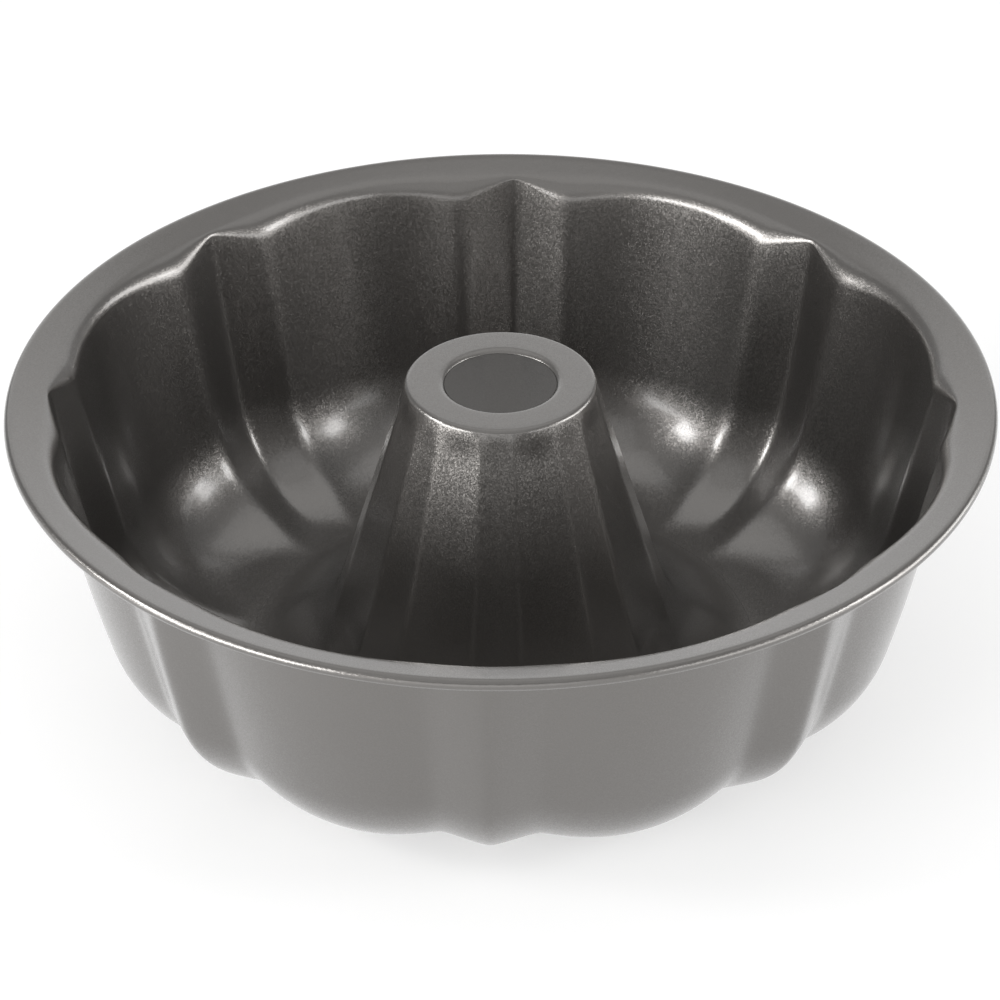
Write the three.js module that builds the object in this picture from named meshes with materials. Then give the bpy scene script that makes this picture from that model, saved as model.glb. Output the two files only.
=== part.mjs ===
// Fluted tube pan: a pressed steel bowl with a wired rim, and a drawn centre tube pressed on a collar in its floor.
// Millimetres, +Z up. The origin lies on the pan's axis, on the plane that the pan stands on.

import * as THREE from 'three';

const degrees = THREE.MathUtils.degToRad;

// Sheet metal and clearances
const sheet = 0.6;                        // thickness of the pressed sheet
const seamGap = 0.3;                      // clearance between the tube's foot and the bowl's collar
const wireGap = 0.3;                      // clearance round the wire inside the rolled rim

// Rim
const rimRadius = 132;                    // to the outside of the rolled edge
const rimHeight = 85.5;                   // top of the rolled edge
const wireRadius = 0.7;
const curlSweep = degrees(276);           // how far the edge is rolled round the wire
const flangeSlope = degrees(16.5);        // the flange falls towards the middle

// Wall: straight above the hip and bowed below it, down to the bend into the floor
const hipHeight = 68;

// Wide round lobes: inset from the rim, draft above the hip and at the bend, radii of the bend and of the fillet
const lobeInset = 9.9;
const lobeDraft = degrees(9.7);
const lobeBelly = degrees(15);
const lobeBend = 37;
const lobeFillet = 5.8;
const lobeRise = -0.75;                   // bottom of the bend's circle, from the plane that the pan stands on

// Narrow flutes between the lobes
const fluteCount = 8;
const fluteHalfAngle = degrees(7.2);      // from a flute's crest to the ridge on either side of it
const fluteInset = 9.7;
const fluteDraft = degrees(9);
const fluteBelly = degrees(14);
const fluteBend = 38;
const fluteFillet = 2;
const fluteRise = 0.9;
const crestRound = 0.15;                  // roundness of a flute's crest, against its half width

// Ridges between lobes and flutes
const ridgeInset = 14.6;
const ridgeDraft = degrees(8.7);
const ridgeBelly = degrees(12);
const ridgeBend = 34;
const ridgeFillet = 14;                   // the flange rolls softly over a ridge
const ridgeRise = 2.6;

// Floor: it falls from the bends to a flat ring round the tube's foot, on which the pan stands
const heelAngle = degrees(50);            // how far down the bend keeps its radius before it eases into the floor
const floorSlope = degrees(5);
const standingWidth = 7;

// Centre tube
const tubeHeight = 88.1;                  // flat top of the tube
const tubeTopRadius = 25.3;               // where the cone would meet the flat top
const tubeTopRound = 1.5;                 // outside rounding between the cone and the flat top
const tubeFootRadius = 51.6;              // where the cone would meet the plane that the pan stands on
const holeRadius = 15;
const holeRound = 2.5;                    // outside rounding of the edge that is turned into the hole
const holeTurn = degrees(55);             // how far that edge is turned down

// Flat panels pressed into the tube: a narrow one in line with each flute and a wide one in line with each lobe
const panelHalfAngle = degrees(9);        // from the middle of a narrow panel to the crease beside it
const panelFoot = 20;                     // bottom of the panels
const panelTopMargin = 8;                 // top of the panels below the flat top
const panelEase = 8;                      // height over which they run out into the round foot

// Foot joint: the tube's foot is pressed over a collar turned up from the bowl's floor
const collarTop = 8;
const collarRound = 0.5;                  // upper rounding between the floor and the collar
const footClearance = 0.5;                // tube's bottom edge above the floor

// Facets
const fluteSteps = 3;                     // from a crest to its ridge
const lobeSteps = 3;                      // from a ridge to the middle of its lobe
const panelSteps = 2;                     // from a narrow panel's middle to its crease
const sideSteps = 3;                      // from a crease to the middle of a wide panel
const toeSteps = 3;
const bendSteps = 3;
const bellySteps = 2;
const filletSteps = 3;
const curlSteps = 6;
const roundSteps = 3;
const wireSides = 6;

// Sizes that follow
const curlRadius = wireRadius + wireGap + sheet;
const curlCentre = new THREE.Vector2(rimRadius - curlRadius, rimHeight - curlRadius);
const curlStart = Math.PI / 2 + flangeSlope;
const up = new THREE.Vector2(0, 1);
const pitch = 2 * Math.PI / fluteCount;
const taper = Math.atan2(tubeFootRadius - tubeTopRadius, tubeHeight);
const coneNormal = new THREE.Vector2(Math.cos(taper), Math.sin(taper));
const coneFace = coneNormal.x * tubeFootRadius;
const collarFace = coneFace - sheet - seamGap;
const collarCentre = crossing(up, sheet + collarRound, coneNormal, collarFace + collarRound);
const floorNormal = new THREE.Vector2(-Math.sin(floorSlope), Math.cos(floorSlope));
const floorFace = floorNormal.x * (collarCentre.x + standingWidth);

// Points along an arc, both ends included
function arc(centre, radius, from, to, steps) {
  const points = [];
  for (let i = 0; i <= steps; i++) {
    const angle = THREE.MathUtils.lerp(from, to, i / steps);
    points.push(new THREE.Vector2(centre.x + radius * Math.cos(angle), centre.y + radius * Math.sin(angle)));
  }
  return points;
}

// Point at given distances along two unit directions: where two offset lines cross
function crossing(directionA, distanceA, directionB, distanceB) {
  const determinant = directionA.cross(directionB);
  const x = (distanceA * directionB.y - distanceB * directionA.y) / determinant;
  const y = (distanceB * directionA.x - distanceA * directionB.x) / determinant;
  return new THREE.Vector2(x, y);
}

// A meridian of the bowl: turn from the floor, bend, bowed and straight wall, and fillet to the flange.
// The skin gives its points from the floor up, offset 0 on the outside and the sheet's thickness inside.
function meridian({ inset, draft, belly, bend, fillet, rise }) {
  const flangeNormal = new THREE.Vector2(Math.cos(curlStart), Math.sin(curlStart));
  const flangeFace = flangeNormal.dot(curlCentre) + curlRadius;
  const wallNormal = new THREE.Vector2(-Math.cos(draft), Math.sin(draft));
  const wallFace = wallNormal.dot(new THREE.Vector2(rimRadius - inset, rimHeight));
  const filletCentre = crossing(flangeNormal, flangeFace - fillet, wallNormal, wallFace + sheet - fillet);
  const hipLevel = Math.min(hipHeight, filletCentre.y);
  const hip = crossing(new THREE.Vector2(0, 1), hipLevel, wallNormal, wallFace);
  const fall = hipLevel - rise - bend * (1 - Math.sin(belly));
  const bellyRadius = fall / (Math.sin(belly) - Math.sin(draft));
  const bellyCentre = hip.clone().addScaledVector(wallNormal, bellyRadius);
  const bellyNormal = new THREE.Vector2(-Math.cos(belly), Math.sin(belly));
  const bendCentre = bellyCentre.clone().addScaledVector(bellyNormal, bend - bellyRadius);
  const heelNormal = new THREE.Vector2(Math.cos(heelAngle), -Math.sin(heelAngle));
  const heel = bendCentre.clone().addScaledVector(heelNormal, bend);
  const toe = (floorNormal.dot(heel) - floorFace) / (1 + floorNormal.dot(heelNormal));
  const toeCentre = heel.clone().addScaledVector(heelNormal, -toe);
  return (offset) => [
    ...arc(toeCentre, toe - offset, floorSlope - Math.PI / 2, -heelAngle, toeSteps),
    ...arc(bendCentre, bend - offset, -heelAngle, -belly, bendSteps).slice(1),
    ...arc(bellyCentre, bellyRadius - offset, -belly, -draft, bellySteps).slice(1),
    ...arc(filletCentre, fillet - sheet + offset, Math.PI - draft, curlStart, filletSteps),
  ];
}

const lobeSkin = meridian({
  inset: lobeInset, draft: lobeDraft, belly: lobeBelly, bend: lobeBend, fillet: lobeFillet, rise: lobeRise,
});
const fluteSkin = meridian({
  inset: fluteInset, draft: fluteDraft, belly: fluteBelly, bend: fluteBend, fillet: fluteFillet, rise: fluteRise,
});
const ridgeSkin = meridian({
  inset: ridgeInset, draft: ridgeDraft, belly: ridgeBelly, bend: ridgeBend, fillet: ridgeFillet, rise: ridgeRise,
});

// Share of the flute's shape at an angle from its crest: a tent with a rounded top, down to 0 at the ridge
function fluteShare(angle) {
  const tent = (x) => Math.hypot(x, crestRound);
  const x = angle / fluteHalfAngle;
  return x < 1 ? (tent(1) - tent(x)) / (tent(1) - tent(0)) : 0;
}

// Share of the lobe's shape at an angle from the nearest crest: a round arch between two ridges
function lobeShare(angle) {
  const x = (pitch / 2 - angle) / (pitch / 2 - fluteHalfAngle);
  return x < 1 ? 1 - x * x : 0;
}

// The bowl's skin at an angle from the nearest crest, from the standing ring up to the flange
function bowlSkin(angle, offset) {
  const lobe = lobeSkin(offset);
  const flute = fluteSkin(offset);
  const profile = ridgeSkin(offset).map((ridge, i) => {
    const point = ridge.clone();
    point.addScaledVector(lobe[i].clone().sub(ridge), lobeShare(angle));
    point.addScaledVector(flute[i].clone().sub(ridge), fluteShare(angle));
    return point;
  });
  return [crossing(up, offset, floorNormal, floorFace + offset), ...profile];
}

// Closed section of the bowl's sheet at an angle from the nearest crest: up the inside and back down the outside
function bowlSection(angle) {
  const curlEnd = curlStart - curlSweep;
  const collarEnd = Math.PI + taper;
  return [
    crossing(up, collarTop, coneNormal, collarFace),
    ...arc(collarCentre, collarRound, collarEnd, 1.5 * Math.PI, roundSteps),
    ...bowlSkin(angle, sheet),
    ...arc(curlCentre, curlRadius, curlStart, curlEnd, curlSteps),
    ...arc(curlCentre, curlRadius - sheet, curlEnd, curlStart, curlSteps),
    ...bowlSkin(angle, 0).reverse(),
    ...arc(collarCentre, collarRound + sheet, 1.5 * Math.PI, collarEnd, roundSteps),
    crossing(up, collarTop, coneNormal, collarFace - sheet),
  ];
}

// Angles from a crest to the middle of a lobe at which the bowl is sectioned.
// They crowd towards the ridges, where its skin turns most.
function bowlAngles() {
  const angles = [];
  for (let i = 0; i < fluteSteps; i++) angles.push(fluteHalfAngle * i / fluteSteps);
  for (let i = 0; i <= lobeSteps; i++) {
    angles.push(fluteHalfAngle + (pitch / 2 - fluteHalfAngle) * (i / lobeSteps) ** 1.5);
  }
  return angles;
}

// The same for the tube, evenly across its panels
function tubeAngles() {
  const angles = [];
  for (let i = 0; i < panelSteps; i++) angles.push(panelHalfAngle * i / panelSteps);
  for (let i = 0; i <= sideSteps; i++) {
    angles.push(panelHalfAngle + (pitch / 2 - panelHalfAngle) * i / sideSteps);
  }
  return angles;
}

// Those angles repeated all round the pan, each with its angle from the nearest crest
function stations(angles) {
  const whole = angles.map((angle) => ({ turn: angle, fromCrest: angle }));
  for (const angle of angles.slice(1, -1).reverse()) whole.push({ turn: pitch - angle, fromCrest: angle });
  const all = [];
  for (let k = 0; k < fluteCount; k++) {
    for (const { turn, fromCrest } of whole) all.push({ turn: k * pitch + turn, fromCrest });
  }
  return all;
}

// Closed ring through the sections at all stations, each facet split along its shorter diagonal
function ring(sectionAt, angles) {
  const rings = stations(angles).map(({ turn, fromCrest }) => sectionAt(fromCrest).map(
    (point) => new THREE.Vector3(point.x * Math.cos(turn), point.x * Math.sin(turn), point.y)));
  const count = rings.length;
  const size = rings[0].length;
  const index = [];
  for (let i = 0; i < count; i++) {
    const next = (i + 1) % count;
    for (let j = 0; j < size; j++) {
      const up = (j + 1) % size;
      const [a, b, c, d] = [i * size + j, i * size + up, next * size + up, next * size + j];
      const first = rings[i][j].distanceTo(rings[next][up]);
      const second = rings[i][up].distanceTo(rings[next][j]);
      if (first <= second) index.push(a, b, c, a, c, d);
      else index.push(a, b, d, b, c, d);
    }
  }
  const geometry = new THREE.BufferGeometry().setFromPoints(rings.flat());
  geometry.setIndex(index);
  geometry.computeVertexNormals();
  return geometry;
}

// Radius of a flat panel against that of its creases, at an angle from the nearest crest
function panelShare(angle) {
  if (angle <= panelHalfAngle) return Math.cos(panelHalfAngle) / Math.cos(angle);
  return Math.cos(pitch / 2 - panelHalfAngle) / Math.cos(pitch / 2 - angle);
}

// The tube's skin below its top at an angle from the nearest crest, from the panels' top down to the foot
function tubeSkin(angle, offset) {
  const share = panelShare(angle);
  const levels = [
    { height: tubeHeight - panelTopMargin, share },
    { height: panelFoot, share },
    { height: panelFoot - panelEase, share: 1 },
    { height: sheet + footClearance, share: 1 },
  ];
  return levels.map((level) => {
    const point = crossing(up, level.height, coneNormal, coneFace - offset);
    return new THREE.Vector2(point.x * level.share, point.y);
  });
}

// Section of the tube's sheet: down the outside from the hole to the foot, and back up the inside
function tubeSection(angle) {
  const topCentre = crossing(up, tubeHeight - tubeTopRound, coneNormal, coneFace - tubeTopRound);
  const holeCentre = new THREE.Vector2(holeRadius + holeRound * Math.sin(holeTurn), tubeHeight - holeRound);
  const holeEdge = Math.PI / 2 + holeTurn;
  return [
    ...arc(holeCentre, holeRound, holeEdge, Math.PI / 2, roundSteps),
    ...arc(topCentre, tubeTopRound, Math.PI / 2, taper, roundSteps),
    ...tubeSkin(angle, 0),
    ...tubeSkin(angle, sheet).reverse(),
    ...arc(topCentre, tubeTopRound - sheet, taper, Math.PI / 2, roundSteps),
    ...arc(holeCentre, holeRound - sheet, Math.PI / 2, holeEdge, roundSteps),
  ];
}

// Section of the wire, which lies in the middle of the rolled edge
function wireSection() {
  return arc(curlCentre, wireRadius, 2 * Math.PI, 0, wireSides).slice(1);
}

const coating = new THREE.MeshStandardMaterial({ color: 0x4a4845, roughness: 0.38, metalness: 0.7 });
const tubeCoating = coating.clone();
const wireSteel = new THREE.MeshStandardMaterial({ color: 0xa8a8a6, roughness: 0.35, metalness: 1 });

// One named piece of the pan
function piece(name, geometry, material) {
  const mesh = new THREE.Mesh(geometry, material);
  mesh.name = name;
  return mesh;
}

const pan = new THREE.Group();
pan.add(
  piece('fluted_bowl', ring(bowlSection, bowlAngles()), coating),
  piece('centre_tube', ring(tubeSection, tubeAngles()), tubeCoating),
  piece('rim_wire', ring(wireSection, bowlAngles()), wireSteel),
);

export default pan;
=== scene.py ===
"""Fluted tube pan of dark coated steel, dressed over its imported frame.

Lengths in the classes are millimetres and angles are degrees, in the frame of the solids: the origin is on
the pan's axis, on the plane that it stands on, +Z is up and a flute's crest is on +X. Only the lamps have
their sizes in metres.
"""

import logging
import math
from dataclasses import dataclass
from enum import Enum

import bmesh
import bpy
from mathutils import Euler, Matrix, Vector


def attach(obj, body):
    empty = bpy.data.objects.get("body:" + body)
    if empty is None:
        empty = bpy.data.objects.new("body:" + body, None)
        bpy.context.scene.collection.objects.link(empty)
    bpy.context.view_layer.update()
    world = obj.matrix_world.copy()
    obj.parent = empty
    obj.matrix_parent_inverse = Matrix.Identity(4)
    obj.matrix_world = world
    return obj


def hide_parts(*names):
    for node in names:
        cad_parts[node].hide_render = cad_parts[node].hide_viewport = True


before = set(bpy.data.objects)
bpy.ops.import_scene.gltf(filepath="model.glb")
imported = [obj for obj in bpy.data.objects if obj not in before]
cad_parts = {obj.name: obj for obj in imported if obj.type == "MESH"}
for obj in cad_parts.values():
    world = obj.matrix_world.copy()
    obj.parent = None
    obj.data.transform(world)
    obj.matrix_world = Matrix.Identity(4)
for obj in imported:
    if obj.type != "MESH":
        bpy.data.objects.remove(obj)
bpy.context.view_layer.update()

log = logging.getLogger("pan")

# Metres in a millimetre
MM = 0.001
# Points of a skin that lie nearer than this many millimetres are one
WELD = 0.002
# Where a spin turns, and upwards in a section
ORIGIN = (0, 0, 0)
AXIS = (0, 0, 1)
UP = Vector((0, 1))
BODY = "root"


class Slot(Enum):
    """Material slot that the coated pieces have in the model. Nothing in the script uses it."""

    COATING = "coated_steel"


class Side(Enum):
    """Which way the modelled skin of a pressed sheet faces: up, or away from the axis."""

    UPPER = "upper"
    OUTER = "outer"


def heading(angle: float) -> Vector:
    """Unit direction in a section through the axis.

    Args:
        angle: Angle above the level way out from the axis.

    Returns:
        The direction, as radius and height.
    """
    turn = math.radians(angle)
    return Vector((math.cos(turn), math.sin(turn)))


@dataclass(frozen=True)
class Arc:
    """Part of a circle in a section through the axis.

    Attributes:
        centre: Middle of the circle, as radius and height.
        radius: Radius of the circle.
        start: Angle of the first point.
        end: Angle of the last point.
        steps: Number of chords.
    """

    centre: Vector
    radius: float
    start: float
    end: float
    steps: int

    def points(self) -> list[Vector]:
        """Divide the arc.

        Returns:
            Points along it, both ends included.
        """
        sweep = self.end - self.start
        angles = [self.start + sweep * i / self.steps for i in range(self.steps + 1)]
        return [self.centre + self.radius * heading(angle) for angle in angles]


def crossing(way_a: Vector, reach_a: float, way_b: Vector, reach_b: float) -> Vector:
    """Find the point that lies at given distances along two directions.

    Args:
        way_a: First unit direction.
        reach_a: Distance along it.
        way_b: Second unit direction.
        reach_b: Distance along it.

    Returns:
        The point, as radius and height.
    """
    area = way_a.x * way_b.y - way_a.y * way_b.x
    x = (reach_a * way_b.y - reach_b * way_a.y) / area
    y = (reach_b * way_a.x - reach_a * way_b.x) / area
    return Vector((x, y))


def between(start: Vector, end: Vector, steps: int) -> list[Vector]:
    """Divide the straight line between two points.

    Args:
        start: First point.
        end: Last point.
        steps: Number of parts.

    Returns:
        The points that divide it, the two themselves left out.
    """
    return [start.lerp(end, i / steps) for i in range(1, steps)]


def eased(share: float) -> float:
    """Smooth rise from 0 to 1 with level ends.

    Args:
        share: Place along the rise, which may lie beyond its ends.

    Returns:
        The height of the rise there.
    """
    share = min(1.0, max(0.0, share))
    return share * share * (3 - 2 * share)


def section_line(bm: bmesh.types.BMesh, points: list[Vector]) -> list[bmesh.types.BMVert]:
    """Draw a section as a line of edges in the plane of +X and +Z.

    Args:
        bm: Mesh that gets the line.
        points: The section, as radius and height.

    Returns:
        The line's vertices, in the order of the points.
    """
    verts = [bm.verts.new((point.x * MM, 0, point.y * MM)) for point in points]
    for start, end in zip(verts, verts[1:]):
        bm.edges.new((start, end))
    return verts


def sheet_mesh(name: str, bm: bmesh.types.BMesh, side: Side, sheet: float) -> bpy.types.Object:
    """Make a finished piece of sheet metal from one modelled skin.

    Args:
        name: Name of the piece.
        bm: The skin, in metres. It is freed.
        side: Which way the skin faces.
        sheet: Thickness in millimetres.

    Returns:
        The piece, linked to the scene, with its thickness as a live modifier.
    """
    bmesh.ops.remove_doubles(bm, verts=bm.verts[:], dist=WELD * MM)
    bmesh.ops.recalc_face_normals(bm, faces=bm.faces[:])
    facing = 0.0
    for face in bm.faces:
        middle = face.calc_center_median()
        outward = Vector((middle.x, middle.y, 0)).normalized() if side is Side.OUTER else Vector(AXIS)
        facing += face.normal.dot(outward) * face.calc_area()
    if facing < 0:
        bmesh.ops.reverse_faces(bm, faces=bm.faces[:])
    for face in bm.faces:
        face.smooth = True
    mesh = bpy.data.meshes.new(name)
    bm.to_mesh(mesh)
    bm.free()
    piece = bpy.data.objects.new(name, mesh)
    bpy.context.scene.collection.objects.link(piece)
    wall = piece.modifiers.new("sheet", "SOLIDIFY")
    wall.thickness = sheet * MM
    wall.offset = -1
    wall.use_even_offset = True
    return piece


@dataclass(frozen=True)
class Meridian:
    """The bowl's wall where one plane through the axis cuts it.

    Attributes:
        inset: Wall's outer face in from the rim's radius, at the rim's height.
        draft: Lean from upright of the wall's straight upper part.
        belly: Lean where the bowed lower part meets the bend.
        bend: Outer radius of the bend into the floor.
        fillet: Upper radius of the turn into the flange.
        floor: Bottom of the whole circle that the bend is a part of.
    """

    inset: float
    draft: float
    belly: float
    bend: float
    fillet: float
    floor: float


@dataclass(frozen=True)
class BowlSteps:
    """How finely the bowl's skin is divided.

    Attributes:
        collar: Round at the collar's foot.
        stand: Flat standing ring.
        floor: Straight part of the floor.
        toe: Turn from the floor to the bend.
        bend: Bend into the wall.
        side: Bowed part of the wall.
        wall: Straight part of the wall.
        fillet: Turn into the flange.
        flange: Flange.
        curl: Rolled edge.
        crest: Half of a flute's crest, round the pan.
        face: From there to the ridge's rounding.
        ridge: The ridge's rounding.
        lobe: From there to the middle of a lobe.
    """

    collar: int = 5
    stand: int = 3
    floor: int = 6
    toe: int = 12
    bend: int = 10
    side: int = 8
    wall: int = 3
    fillet: int = 10
    flange: int = 4
    curl: int = 24
    crest: int = 8
    face: int = 4
    ridge: int = 12
    lobe: int = 11


@dataclass
class FlutedBowl:
    """Deep-drawn bowl: lobed wall, floor, dished flange and an edge rolled round a wire.

    Attributes:
        rim_radius: To the outside of the rolled edge.
        rim_height: Top of the rolled edge.
        sheet: Thickness of the metal.
        curl_radius: Outside of the rolled edge's section.
        curl_sweep: How far the edge is rolled.
        flange_slope: Fall of the flange towards the middle.
        flutes: Number of narrow flutes, and of the wide lobes between them.
        flute_half: From a flute's crest to the ridge beside it.
        crest_round: Half width of the rounding of a crest.
        ridge_round: Half width of the rounding of a ridge.
        crest_zone: From a crest, where the skin is divided most finely.
        ridge_zone: To each side of a ridge, where it is divided finely too.
        hip_height: Where the wall's straight upper part ends.
        lobe: The wall in the middle of a lobe.
        flute: The wall on a flute's crest.
        ridge: The wall on a ridge.
        heel: How far below the level the bend's circle ends and the turn to the floor begins.
        floor_slope: Rise of the floor from the standing ring.
        stand_radius: Outer edge of the flat standing ring.
        collar_radius: Where the collar's face would meet the plane that the pan stands on.
        collar_lean: Lean of the collar from upright.
        collar_round: Upper radius of the turn into the collar.
        collar_top: Top of the collar.
        steps: How finely the skin is divided.
    """

    rim_radius: float = 131.9
    rim_height: float = 85.4
    sheet: float = 0.6
    curl_radius: float = 1.6
    curl_sweep: float = 276
    flange_slope: float = 16.5
    flutes: int = 8
    flute_half: float = 7.2
    crest_round: float = 0.8
    ridge_round: float = 1.4
    crest_zone: float = 1.8
    ridge_zone: float = 3
    hip_height: float = 68
    lobe: Meridian = Meridian(inset=9.8, draft=9.7, belly=15, bend=37, fillet=5.0, floor=-0.75)
    flute: Meridian = Meridian(inset=9.6, draft=9.0, belly=14, bend=38, fillet=2.0, floor=0.9)
    ridge: Meridian = Meridian(inset=13.2, draft=12.0, belly=13.0, bend=34, fillet=10.0, floor=3.2)
    heel: float = 50
    floor_slope: float = 3
    stand_radius: float = 58
    collar_radius: float = 50.61
    collar_lean: float = 16.63
    collar_round: float = 0.5
    collar_top: float = 8
    steps: BowlSteps = BowlSteps()

    def floor_underside(self) -> tuple[Vector, float]:
        """Underside of the floor's straight part in a section.

        Returns:
            The direction square to it, and its distance from the origin in that direction.
        """
        way = heading(90 + self.floor_slope)
        return way, way.dot(Vector((self.stand_radius, 0)))

    def foot_points(self) -> list[Vector]:
        """Upper face of the collar and the standing ring, which is the same all round.

        Returns:
            Points from the collar's top to the standing ring's outer edge.
        """
        collar_way = heading(self.collar_lean)
        collar_face = collar_way.dot(Vector((self.collar_radius, 0)))
        collar_centre = crossing(
            UP, self.sheet + self.collar_round, collar_way, collar_face + self.collar_round
        )
        collar = Arc(
            collar_centre, self.collar_round, 180 + self.collar_lean, 270, self.steps.collar
        ).points()
        floor_way, floor_face = self.floor_underside()
        stand = crossing(UP, self.sheet, floor_way, floor_face + self.sheet)
        top = crossing(UP, self.collar_top, collar_way, collar_face)
        return [top, *collar, *between(collar[-1], stand, self.steps.stand), stand]

    def wall_points(self, meridian: Meridian) -> list[Vector]:
        """Upper face of the turns from the floor into the wall.

        Args:
            meridian: The wall's sizes.

        Returns:
            Points from the end of the floor's straight part to the hip.
        """
        lean = math.radians(meridian.draft)
        low_lean = math.radians(meridian.belly)
        wall_top = Vector((self.rim_radius - meridian.inset, self.rim_height))
        hip = wall_top - (self.rim_height - self.hip_height) * Vector((math.tan(lean), 1))
        fall = self.hip_height - meridian.floor - meridian.bend * (1 - math.sin(low_lean))
        belly = fall / (math.sin(low_lean) - math.sin(lean))
        belly_centre = hip + belly * heading(180 - meridian.draft)
        bend_centre = belly_centre - (belly - meridian.bend) * heading(180 - meridian.belly)
        floor_way, floor_face = self.floor_underside()
        heel_way = heading(-self.heel)
        reach = floor_way.dot(bend_centre + meridian.bend * heel_way) - floor_face
        toe_radius = reach / (1 + floor_way.dot(heel_way))
        toe_centre = bend_centre + (meridian.bend - toe_radius) * heel_way
        toe = Arc(
            toe_centre, toe_radius - self.sheet, self.floor_slope - 90, -self.heel, self.steps.toe
        ).points()
        bend = Arc(
            bend_centre, meridian.bend - self.sheet, -self.heel, -meridian.belly, self.steps.bend
        ).points()
        side = Arc(
            belly_centre, belly - self.sheet, -meridian.belly, -meridian.draft, self.steps.side
        ).points()
        return [*toe, *bend[1:], *side[1:]]

    def edge_points(self, meridian: Meridian) -> list[Vector]:
        """Upper face of the flange and the rolled edge.

        Args:
            meridian: The wall's sizes.

        Returns:
            Points from the top of the wall to the end of the rolled edge.
        """
        curl_centre = Vector((self.rim_radius - self.curl_radius, self.rim_height - self.curl_radius))
        curl_start = 90 + self.flange_slope
        flange_way = heading(curl_start)
        flange_face = flange_way.dot(curl_centre) + self.curl_radius
        wall_way = heading(180 - meridian.draft)
        wall_top = Vector((self.rim_radius - meridian.inset, self.rim_height))
        wall_face = wall_way.dot(wall_top) + self.sheet
        fillet_centre = crossing(
            flange_way, flange_face - meridian.fillet, wall_way, wall_face - meridian.fillet
        )
        fillet = Arc(
            fillet_centre, meridian.fillet, 180 - meridian.draft, curl_start, self.steps.fillet
        ).points()
        curl = Arc(
            curl_centre, self.curl_radius, curl_start, curl_start - self.curl_sweep, self.steps.curl
        ).points()
        return [*fillet, *between(fillet[-1], curl[0], self.steps.flange), *curl]

    def skin(self, meridian: Meridian) -> list[Vector]:
        """Upper face of the sheet where one meridian cuts it.

        Args:
            meridian: The wall's sizes there.

        Returns:
            Points from the collar's top to the end of the rolled edge, the same number for every meridian.
        """
        foot = self.foot_points()
        wall = self.wall_points(meridian)
        edge = self.edge_points(meridian)
        return [
            *foot,
            *between(foot[-1], wall[0], self.steps.floor),
            *wall,
            *between(wall[-1], edge[0], self.steps.wall),
            *edge,
        ]

    def flute_share(self, angle: float) -> float:
        """How much of the flute's own section shows: a tent with a rounded top.

        Args:
            angle: Angle from the flute's crest.

        Returns:
            The share.
        """
        run = math.hypot(angle, self.crest_round) - self.crest_round
        rise = self.flute_half - run
        return 0.5 * (rise + math.hypot(rise, self.ridge_round)) / self.flute_half

    def lobe_share(self, angle: float) -> float:
        """How much of the lobe's own section shows: a round arch.

        Args:
            angle: Angle from the nearest flute's crest.

        Returns:
            The share.
        """
        half = 180 / self.flutes
        rise = angle - self.flute_half
        inner = 0.5 * (rise + math.hypot(rise, self.ridge_round))
        share = min(1.0, inner / (half - self.flute_half))
        return 1 - (1 - share) ** 2

    def half_pitch(self) -> list[float]:
        """Divide the half pitch from a crest to the middle of a lobe, most finely where the skin turns most.

        Returns:
            The angles from the crest, both ends included.
        """
        zones = (
            (self.steps.crest, self.crest_zone),
            (self.steps.face, self.flute_half - self.ridge_zone),
            (self.steps.ridge, self.flute_half + self.ridge_zone),
            (self.steps.lobe, 180 / self.flutes),
        )
        angles = [0.0]
        for steps, end in zones:
            start = angles[-1]
            angles.extend(start + (end - start) * i / steps for i in range(1, steps + 1))
        return angles

    def build(self) -> bpy.types.Object:
        """Model the bowl: one pitch is spun from a section, pressed to shape, and repeated round the pan.

        Returns:
            The bowl.
        """
        lobe = self.skin(self.lobe)
        flute = self.skin(self.flute)
        ridge = self.skin(self.ridge)
        angles = self.half_pitch()
        half_steps = len(angles) - 1
        all_steps = 2 * half_steps
        pitch = 2 * math.pi / self.flutes
        bm = bmesh.new()
        row = bm.verts.layers.int.new("row")
        for i, vert in enumerate(section_line(bm, lobe)):
            vert[row] = i
        bmesh.ops.spin(
            bm, geom=bm.verts[:] + bm.edges[:], cent=ORIGIN, axis=AXIS, angle=pitch, steps=all_steps
        )
        for vert in bm.verts:
            step = round(math.atan2(vert.co.y, vert.co.x) / pitch * all_steps)
            angle = angles[min(step, all_steps - step)]
            i = vert[row]
            spot = ridge[i] + self.lobe_share(angle) * (lobe[i] - ridge[i])
            spot = spot + self.flute_share(angle) * (flute[i] - ridge[i])
            turn = math.radians(angle if step <= half_steps else math.degrees(pitch) - angle)
            vert.co = Vector((spot.x * math.cos(turn), spot.x * math.sin(turn), spot.y)) * MM
        bmesh.ops.spin(
            bm, geom=bm.verts[:] + bm.edges[:] + bm.faces[:], cent=ORIGIN, axis=AXIS,
            angle=2 * math.pi - pitch, steps=self.flutes - 1, use_duplicate=True
        )
        return sheet_mesh("bowl", bm, Side.UPPER, self.sheet)


@dataclass(frozen=True)
class TubeSteps:
    """How finely the tube's skin is divided.

    Attributes:
        lip: Edge that is turned into the hole.
        top: Flat top.
        shoulder: Round between the flat top and the cone.
        cone: Cone.
        foot: Hollow round at the foot.
        spin: Once round the axis.
    """

    lip: int = 8
    top: int = 4
    shoulder: int = 10
    cone: int = 26
    foot: int = 48
    spin: int = 256


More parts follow.
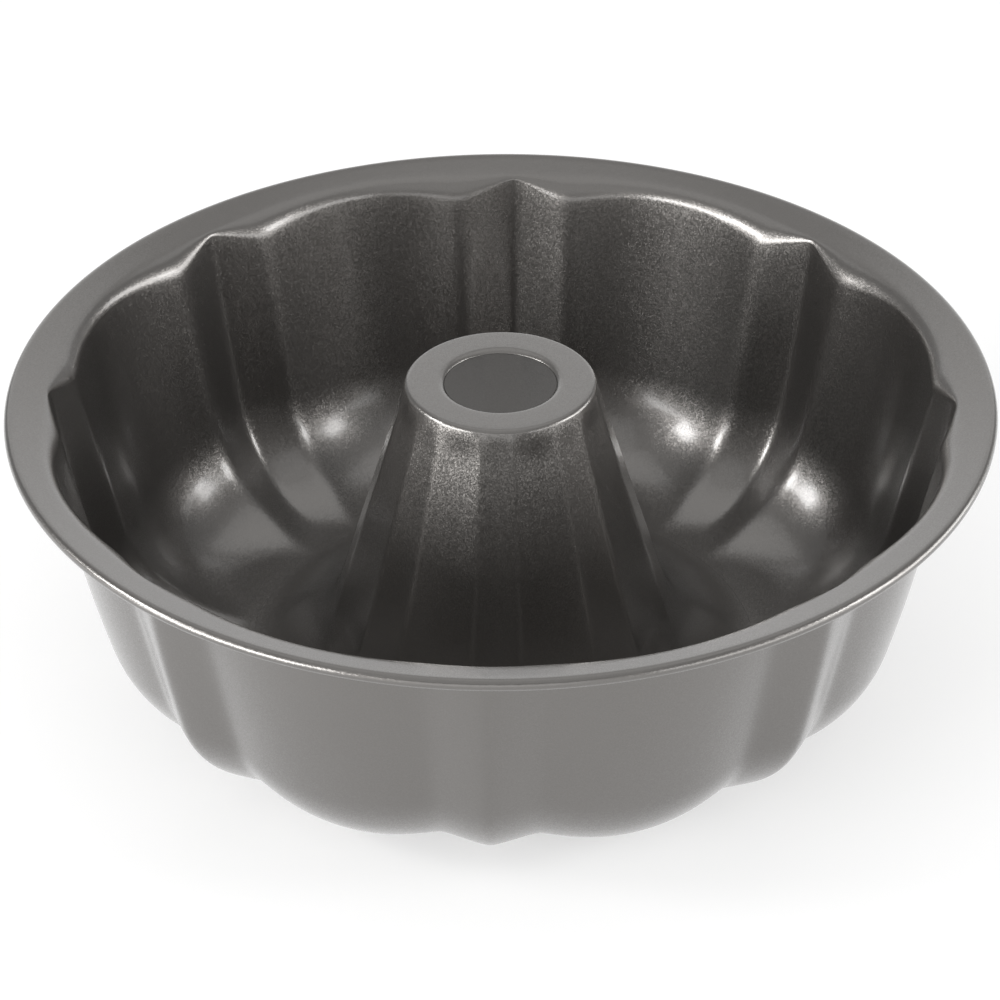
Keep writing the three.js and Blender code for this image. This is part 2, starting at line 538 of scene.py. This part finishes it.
@dataclass
class CentreTube:
    """Drawn cone in the middle, with a pierced flat top and a foot that flows into the bowl's floor.

    Attributes:
        height: Flat top.
        top_radius: Where the cone would meet the flat top.
        top_round: Rounding between them.
        foot_radius: Where the cone would meet the plane that the pan stands on.
        foot_round: Hollow rounding between the cone and the bowl's floor.
        foot_lift: Height of the foot's edge over the floor's upper face.
        edge_share: Place of a last row of points next to that edge, which keeps its shading even.
        floor_radius: Where the floor's underside leaves the plane that the pan stands on.
        floor_slope: Rise of the floor from there.
        floor_sheet: Thickness of the floor.
        hole_radius: Hole in the flat top.
        hole_round: Rounding of the edge that is turned into the hole.
        hole_turn: How far that edge is turned down.
        sheet: Thickness of the metal.
        panels: Number of narrow panels pressed flat in line with the flutes, and of wide ones between them.
        panel_half: From the middle of a narrow panel to the crease beside it.
        panel_foot: Bottom of the panels.
        panel_top: Top of the panels.
        panel_ease: Height over which they run out into the round.
        crease_round: Rounding of a crease, against the tube's radius.
        steps: How finely the skin is divided.
    """

    height: float = 88.05
    top_radius: float = 25.25
    top_round: float = 1.5
    foot_radius: float = 51.55
    foot_round: float = 24
    foot_lift: float = 0.01
    edge_share: float = 0.1
    floor_radius: float = FlutedBowl.stand_radius
    floor_slope: float = FlutedBowl.floor_slope
    floor_sheet: float = FlutedBowl.sheet
    hole_radius: float = 15
    hole_round: float = 2.5
    hole_turn: float = 55
    sheet: float = 0.5
    panels: int = 8
    panel_half: float = 9
    panel_foot: float = 20
    panel_top: float = 80
    panel_ease: float = 7
    crease_round: float = 0.004
    steps: TubeSteps = TubeSteps()

    def skin(self) -> list[Vector]:
        """Outer face of the sheet in a section through the axis.

        Returns:
            Points from the hole's edge to the foot's.
        """
        taper = math.degrees(math.atan2(self.foot_radius - self.top_radius, self.height))
        cone_way = heading(taper)
        cone_face = cone_way.dot(Vector((self.foot_radius, 0)))
        top_centre = crossing(UP, self.height - self.top_round, cone_way, cone_face - self.top_round)
        lip_reach = self.hole_round * math.sin(math.radians(self.hole_turn))
        hole_centre = Vector((self.hole_radius + lip_reach, self.height - self.hole_round))
        lip = Arc(hole_centre, self.hole_round, 90 + self.hole_turn, 90, self.steps.lip).points()
        shoulder = Arc(top_centre, self.top_round, 90, taper, self.steps.shoulder).points()
        floor_way = heading(90 + self.floor_slope)
        floor_face = floor_way.dot(Vector((self.floor_radius, 0))) + self.floor_sheet + self.foot_lift
        foot_centre = crossing(
            floor_way, floor_face + self.foot_round, cone_way, cone_face + self.foot_round
        )
        foot = Arc(
            foot_centre, self.foot_round, 180 + taper, 270 + self.floor_slope, self.steps.foot
        ).points()
        return [
            *lip,
            *between(lip[-1], shoulder[0], self.steps.top),
            *shoulder,
            *between(shoulder[-1], foot[0], self.steps.cone),
            *foot[:-1],
            foot[-1].lerp(foot[-2], self.edge_share),
            foot[-1],
        ]

    def panel_share(self, around: float, height: float) -> float:
        """Radius of the panelled tube against that of the round cone.

        Args:
            around: Angle round the axis.
            height: Level on the tube.

        Returns:
            The share, 1 on a crease and wherever the tube is round.
        """
        half = 180 / self.panels
        angle = math.radians(half - abs(around % (2 * half) - half))
        narrow_half = math.radians(self.panel_half)
        wide_half = math.radians(half - self.panel_half)
        narrow = math.cos(narrow_half) / math.cos(angle)
        wide = math.cos(wide_half) / math.cos(math.radians(half) - angle)
        flat = 0.5 * (narrow + wide - math.hypot(narrow - wide, self.crease_round))
        depth = eased((height - self.panel_foot) / self.panel_ease + 1)
        depth *= eased((self.panel_top - height) / self.panel_ease + 1)
        return 1 + depth * (flat - 1)

    def build(self) -> bpy.types.Object:
        """Model the tube by one full spin of its section, then press its panels flat.

        Returns:
            The tube.
        """
        bm = bmesh.new()
        section_line(bm, self.skin())
        bmesh.ops.spin(
            bm, geom=bm.verts[:] + bm.edges[:], cent=ORIGIN, axis=AXIS,
            angle=2 * math.pi, steps=self.steps.spin, use_merge=True
        )
        for vert in bm.verts:
            around = math.degrees(math.atan2(vert.co.y, vert.co.x))
            share = self.panel_share(around, vert.co.z / MM)
            vert.co.x *= share
            vert.co.y *= share
        return sheet_mesh("tube", bm, Side.OUTER, self.sheet)


@dataclass(frozen=True)
class UnevenGloss:
    """Roughness that varies a little from place to place.

    Attributes:
        low: Roughness of the smoothest places.
        high: Roughness of the roughest places.
        scale: How many clouds there are to a metre.
        detail: How many finer layers each cloud has.
    """

    low: float
    high: float
    scale: float
    detail: float

    def add(self, tree: bpy.types.NodeTree) -> None:
        """Link the roughness to a material's main shader.

        Args:
            tree: The material's nodes.
        """
        place = tree.nodes.new("ShaderNodeTexCoord")
        cloud = tree.nodes.new("ShaderNodeTexNoise")
        cloud.inputs["Scale"].default_value = self.scale
        cloud.inputs["Detail"].default_value = self.detail
        tree.links.new(place.outputs["Object"], cloud.inputs["Vector"])
        gloss = tree.nodes.new("ShaderNodeMapRange")
        gloss.inputs["To Min"].default_value = self.low
        gloss.inputs["To Max"].default_value = self.high
        tree.links.new(cloud.outputs["Fac"], gloss.inputs["Value"])
        tree.links.new(gloss.outputs["Result"], tree.nodes["Principled BSDF"].inputs["Roughness"])


@dataclass(frozen=True)
class FlakeCoating:
    """Baked non-stick coating: a dark half-gloss coat with fine metal flake in it.

    Attributes:
        colour: Linear colour of the coat.
        shade: How much lighter or darker than that a flake may be.
        metal: Share of the light that the flake returns as metal does.
        gloss: Roughness of the flake.
        flake: Size of a flake in millimetres.
        tilt: How far flakes lie out of the surface.
        lacquer: Strength of the clear binder's own shine over the flake.
        lacquer_gloss: Roughness of that shine.
    """

    colour: tuple[float, float, float] = (0.15, 0.1425, 0.135)
    shade: float = 0.03
    metal: float = 0.95
    gloss: UnevenGloss = UnevenGloss(low=0.31, high=0.36, scale=60, detail=4)
    flake: float = 0.27
    tilt: float = 0.16
    lacquer: float = 1.0
    lacquer_gloss: float = 0.17

    def material(self) -> bpy.types.Material:
        """Make the coating's material.

        Returns:
            The material.
        """
        coat = bpy.data.materials.new("flake_coating")
        coat.use_nodes = True
        nodes = coat.node_tree.nodes
        links = coat.node_tree.links
        shader = nodes["Principled BSDF"]
        shader.inputs["Metallic"].default_value = self.metal
        shader.inputs["Coat Weight"].default_value = self.lacquer
        shader.inputs["Coat Roughness"].default_value = self.lacquer_gloss
        self.gloss.add(coat.node_tree)

        # Cells of one flake each, with a random colour that stands for its tilt and its shade
        place = nodes.new("ShaderNodeTexCoord")
        flakes = nodes.new("ShaderNodeTexVoronoi")
        flakes.inputs["Scale"].default_value = 1 / (self.flake * MM)
        links.new(place.outputs["Object"], flakes.inputs["Vector"])

        # Normal of a flake, which leans out of the surface to a random side
        lean = nodes.new("ShaderNodeVectorMath")
        lean.operation = "SUBTRACT"
        lean.inputs[1].default_value = (0.5, 0.5, 0.5)
        links.new(flakes.outputs["Color"], lean.inputs[0])
        amount = nodes.new("ShaderNodeVectorMath")
        amount.operation = "SCALE"
        amount.inputs["Scale"].default_value = self.tilt
        links.new(lean.outputs["Vector"], amount.inputs[0])
        surface = nodes.new("ShaderNodeNewGeometry")
        tilted = nodes.new("ShaderNodeVectorMath")
        links.new(surface.outputs["Normal"], tilted.inputs[0])
        links.new(amount.outputs["Vector"], tilted.inputs[1])
        whole = nodes.new("ShaderNodeVectorMath")
        whole.operation = "NORMALIZE"
        links.new(tilted.outputs["Vector"], whole.inputs[0])
        links.new(whole.outputs["Vector"], shader.inputs["Normal"])

        # Shade of a flake
        grain = nodes.new("ShaderNodeSeparateColor")
        links.new(flakes.outputs["Color"], grain.inputs["Color"])
        shade = nodes.new("ShaderNodeMix")
        shade.data_type = "RGBA"
        shade.inputs["A"].default_value = (*((1 - self.shade) * c for c in self.colour), 1)
        shade.inputs["B"].default_value = (*((1 + self.shade) * c for c in self.colour), 1)
        links.new(grain.outputs["Red"], shade.inputs["Factor"])
        links.new(shade.outputs["Result"], shader.inputs["Base Color"])
        return coat


@dataclass(frozen=True)
class DrawnWire:
    """Plain drawn steel wire.

    Attributes:
        colour: Linear colour of the steel.
        metal: Share of the light that it returns as metal does.
        gloss: Roughness of the steel.
    """

    colour: tuple[float, float, float] = (0.55, 0.55, 0.54)
    metal: float = 1.0
    gloss: UnevenGloss = UnevenGloss(low=0.28, high=0.46, scale=900, detail=2)

    def material(self) -> bpy.types.Material:
        """Make the wire's material.

        Returns:
            The material.
        """
        wire = bpy.data.materials.new("drawn_wire")
        wire.use_nodes = True
        shader = wire.node_tree.nodes["Principled BSDF"]
        shader.inputs["Metallic"].default_value = self.metal
        shader.inputs["Base Color"].default_value = (*self.colour, 1)
        self.gloss.add(wire.node_tree)
        return wire


@dataclass(frozen=True)
class PaleFloor:
    """Plain floor that shows white and keeps the pan's shadow.

    Attributes:
        radius: How far the floor reaches.
        sides: Number of its sides.
        colour: Linear grey of the floor.
        gloss: Its roughness.
        glow: Light of its own that only the camera, mirrors and glass see.
    """

    radius: float = 6000
    sides: int = 96
    colour: float = 0.45
    gloss: float = 0.9
    glow: float = 0.53

    @staticmethod
    def seen_directly(tree: bpy.types.NodeTree) -> bpy.types.NodeSocket:
        """Tell rays of the camera, of mirror images and through glass from rays of light.

        Args:
            tree: Node tree that gets the nodes.

        Returns:
            Output that is 1 for a ray that shows the floor and 0 for one that gathers light.
        """
        path = tree.nodes.new("ShaderNodeLightPath")
        either = tree.nodes.new("ShaderNodeMath")
        either.operation = "MAXIMUM"
        tree.links.new(path.outputs["Is Camera Ray"], either.inputs[0])
        tree.links.new(path.outputs["Is Glossy Ray"], either.inputs[1])
        any_of = tree.nodes.new("ShaderNodeMath")
        any_of.operation = "MAXIMUM"
        tree.links.new(either.outputs["Value"], any_of.inputs[0])
        tree.links.new(path.outputs["Is Transmission Ray"], any_of.inputs[1])
        return any_of.outputs["Value"]

    def material(self) -> bpy.types.Material:
        """Make the floor's material.

        Returns:
            The material.
        """
        pale = bpy.data.materials.new("pale_floor")
        pale.use_nodes = True
        nodes = pale.node_tree.nodes
        links = pale.node_tree.links
        shader = nodes["Principled BSDF"]
        shader.inputs["Base Color"].default_value = (self.colour, self.colour, self.colour, 1)
        shader.inputs["Roughness"].default_value = self.gloss
        glow = nodes.new("ShaderNodeEmission")
        glow.inputs["Strength"].default_value = self.glow
        lit = nodes.new("ShaderNodeAddShader")
        links.new(shader.outputs["BSDF"], lit.inputs[0])
        links.new(glow.outputs["Emission"], lit.inputs[1])
        mix = nodes.new("ShaderNodeMixShader")
        links.new(self.seen_directly(pale.node_tree), mix.inputs["Fac"])
        links.new(shader.outputs["BSDF"], mix.inputs[1])
        links.new(lit.outputs["Shader"], mix.inputs[2])
        links.new(mix.outputs["Shader"], nodes["Material Output"].inputs["Surface"])
        return pale

    def build(self) -> None:
        """Lay the floor."""
        bm = bmesh.new()
        bmesh.ops.create_circle(bm, cap_ends=True, segments=self.sides, radius=self.radius * MM)
        mesh = bpy.data.meshes.new("floor")
        bm.to_mesh(mesh)
        bm.free()
        floor = bpy.data.objects.new("floor", mesh)
        bpy.context.scene.collection.objects.link(floor)
        mesh.materials.append(self.material())


@dataclass(frozen=True)
class Lamp:
    """One soft box of the studio.

    Attributes:
        name: Name of the lamp.
        place: Its middle, in metres.
        size: Width and height, in metres.
        power: Watts.
        aim: Point that it faces, in metres.
    """

    name: str
    place: tuple[float, float, float]
    size: tuple[float, float]
    power: float
    aim: tuple[float, float, float] = (0, 0, 0.06)

    def build(self) -> None:
        """Add the lamp to the scene."""
        light = bpy.data.lights.new(self.name, "AREA")
        light.shape = "RECTANGLE"
        light.size, light.size_y = self.size
        light.energy = self.power
        lamp = bpy.data.objects.new(self.name, light)
        bpy.context.scene.collection.objects.link(lamp)
        lamp.location = self.place
        facing = Vector(self.aim) - Vector(self.place)
        lamp.rotation_euler = facing.to_track_quat("-Z", "Y").to_euler()


@dataclass
class Studio:
    """Camera, plain surround, pale floor and soft lamps.

    Attributes:
        distance: Camera from the point it looks at.
        elevation: Camera above the level.
        azimuth: Camera's angle round the pan.
        aim_height: Height of the point it looks at, on the axis.
        aim_side: That point's place across the picture.
        roll: Tilt of the picture.
        lens: Focal length.
        sensor: Width of the sensor.
        near: Nearest distance that the camera shows.
        fill: Level of the surround's own light.
        ground: The floor.
        lamps: The soft boxes.
    """

    distance: float = 1018.25
    elevation: float = 33.73
    azimuth: float = -87.88
    aim_height: float = 49.6
    aim_side: float = -0.37
    roll: float = -0.45
    lens: float = 134.77
    sensor: float = 36
    near: float = 10
    fill: float = 0.42
    ground: PaleFloor = PaleFloor()
    lamps: tuple[Lamp, ...] = (
        Lamp("backdrop", (0.0, 1.6, 0.75), (2.2, 1.5), 6.5),
        Lamp("box_front", (0.0, -0.62, 1.05), (1.2, 0.8), 1.4),
        Lamp("strip_front", (0.0, -1.2, 0.26), (0.9, 0.5), 1.8),
        Lamp("strip_front_left", (-0.96, -0.72, 0.26), (0.9, 0.5), 13.8),
        Lamp("strip_front_right", (0.96, -0.72, 0.26), (0.9, 0.5), 3.6),
        Lamp("strip_right", (1.19, 0.17, 0.26), (0.9, 0.5), 6.0),
        Lamp("box_top", (0.0, 0.25, 1.25), (1.6, 1.0), 3.2),
        Lamp("bulb_left", (-1.04, -0.16, 0.52), (0.32, 0.32), 5.4),
        Lamp("bulb_right", (1.04, -0.16, 0.52), (0.32, 0.32), 2.8),
    )

    def camera(self) -> None:
        """Place the camera at the photograph's point of view."""
        eye = bpy.data.cameras.new("camera")
        eye.sensor_width = self.sensor
        eye.lens = self.lens
        eye.clip_start = self.near * MM
        camera = bpy.data.objects.new("camera", eye)
        bpy.context.scene.collection.objects.link(camera)
        around = math.radians(self.azimuth)
        up = math.radians(self.elevation)
        out = Vector((math.cos(up) * math.cos(around), math.cos(up) * math.sin(around), math.sin(up)))
        across = Vector((-math.sin(around), math.cos(around), 0))
        aim = Vector((0, 0, self.aim_height)) + self.aim_side * across
        camera.location = (aim + self.distance * out) * MM
        turn = (-out).to_track_quat("-Z", "Y") @ Euler((0, 0, math.radians(self.roll))).to_quaternion()
        camera.rotation_euler = turn.to_euler()
        bpy.context.scene.camera = camera

    def surround(self) -> None:
        """Light the scene evenly from all round."""
        world = bpy.data.worlds.new("surround")
        bpy.context.scene.world = world
        world.use_nodes = True
        light = world.node_tree.nodes["Background"]
        light.inputs["Color"].default_value = (1, 1, 1, 1)
        light.inputs["Strength"].default_value = self.fill

    def build(self) -> None:
        """Set up the whole studio."""
        self.camera()
        self.surround()
        self.ground.build()
        for lamp in self.lamps:
            lamp.build()
        bpy.context.scene.view_settings.view_transform = "Standard"


def dress(piece: bpy.types.Object, node: str, finish: bpy.types.Material) -> None:
    """Give a new piece its finish and put it in the place of a solid.

    Args:
        piece: The piece.
        node: Solid that it stands for.
        finish: Its material.
    """
    piece.data.materials.append(finish)
    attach(piece, BODY)
    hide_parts(node)
    log.info("%s: %d faces of skin in place of %s", piece.name, len(piece.data.polygons), node)


def main() -> None:
    """Build the pan and its studio, piece by piece."""
    logging.basicConfig(level=logging.INFO, format="%(name)s %(message)s")
    coating = FlakeCoating().material()
    dress(FlutedBowl().build(), "fluted_bowl", coating)
    dress(CentreTube().build(), "centre_tube", coating)
    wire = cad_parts["rim_wire"]
    wire.data.materials.clear()
    wire.data.materials.append(DrawnWire().material())
    log.info("%s: solid kept, with a drawn finish", wire.name)
    Studio().build()


if __name__ == "__main__":
    main()
